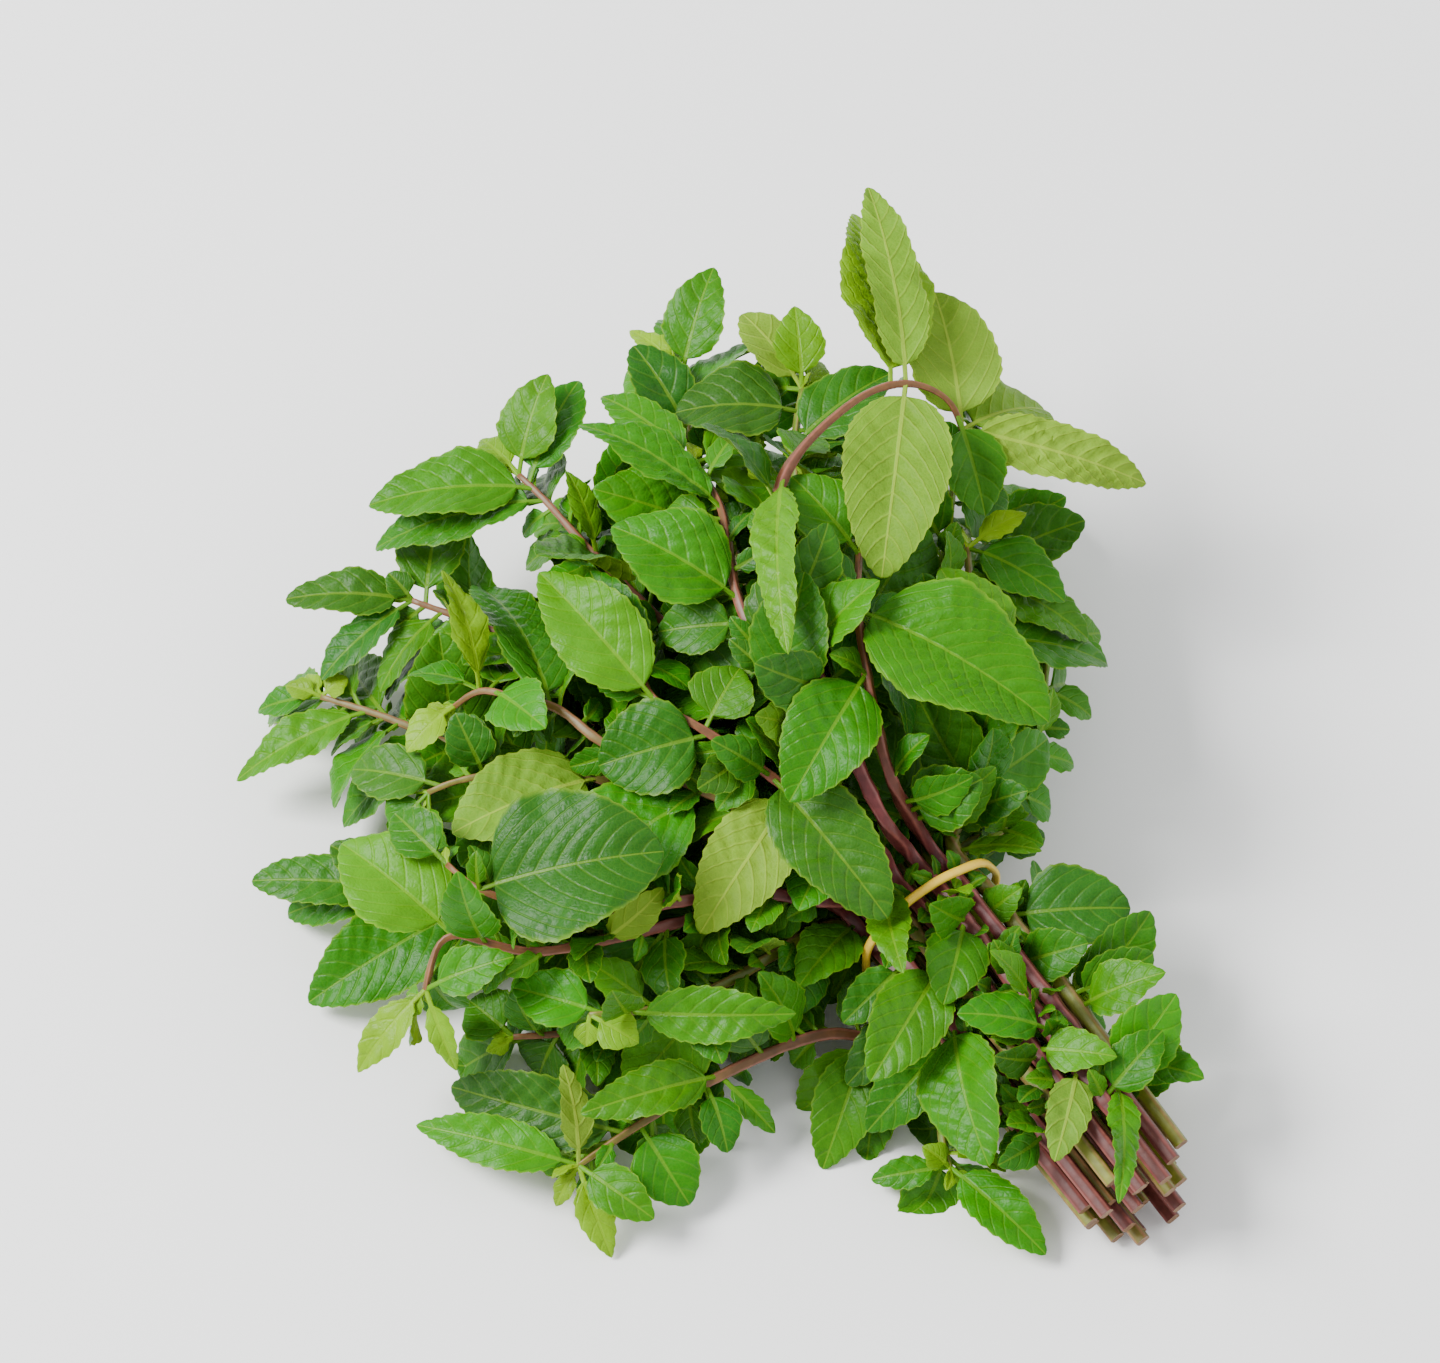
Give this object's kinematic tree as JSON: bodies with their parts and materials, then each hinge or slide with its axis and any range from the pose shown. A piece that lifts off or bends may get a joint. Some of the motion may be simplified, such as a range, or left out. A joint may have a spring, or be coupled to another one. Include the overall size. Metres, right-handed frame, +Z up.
{
  "type": "bunch of mint",
  "caption": "Bunch of fresh leafy mint stems lying on its side, held together by a thin rubber band round the stems above their cut ends.",
  "frame": {"origin": "on the surface that the bunch lies on, under the middle of its bounding box", "axes": "+Z up, +Y along the stems from the cut ends to the leafy tips, +X to the right of that"},
  "size_m": [0.246, 0.2686, 0.1022],
  "materials": {
    "mint_green": "living leaf, satin",
    "yellow_rubber": "matte"
  },
  "bodies": {
    "root": {"rubber_band": "yellow_rubber", "sprig_arch": "mint_green", "sprig_big_leaf": "mint_green", "sprig_centre": "mint_green", "sprig_centre_right": "mint_green", "sprig_crown_left": "mint_green", "sprig_crown_right": "mint_green", "sprig_far_left": "mint_green", "sprig_far_left_upper": "mint_green", "sprig_front": "mint_green", "sprig_front_left": "mint_green", "sprig_left": "mint_green", "sprig_low_front": "mint_green", "sprig_low_left": "mint_green", "sprig_mid_left": "mint_green", "sprig_right_low": "mint_green", "sprig_right_mid": "mint_green", "sprig_right_top": "mint_green", "sprig_top": "mint_green", "sprig_under_back": "mint_green", "sprig_under_edge": "mint_green", "sprig_under_left": "mint_green", "sprig_under_mid": "mint_green", "sprig_under_right": "mint_green", "sprig_upper_left": "mint_green"}
  },
  "joints": []
}
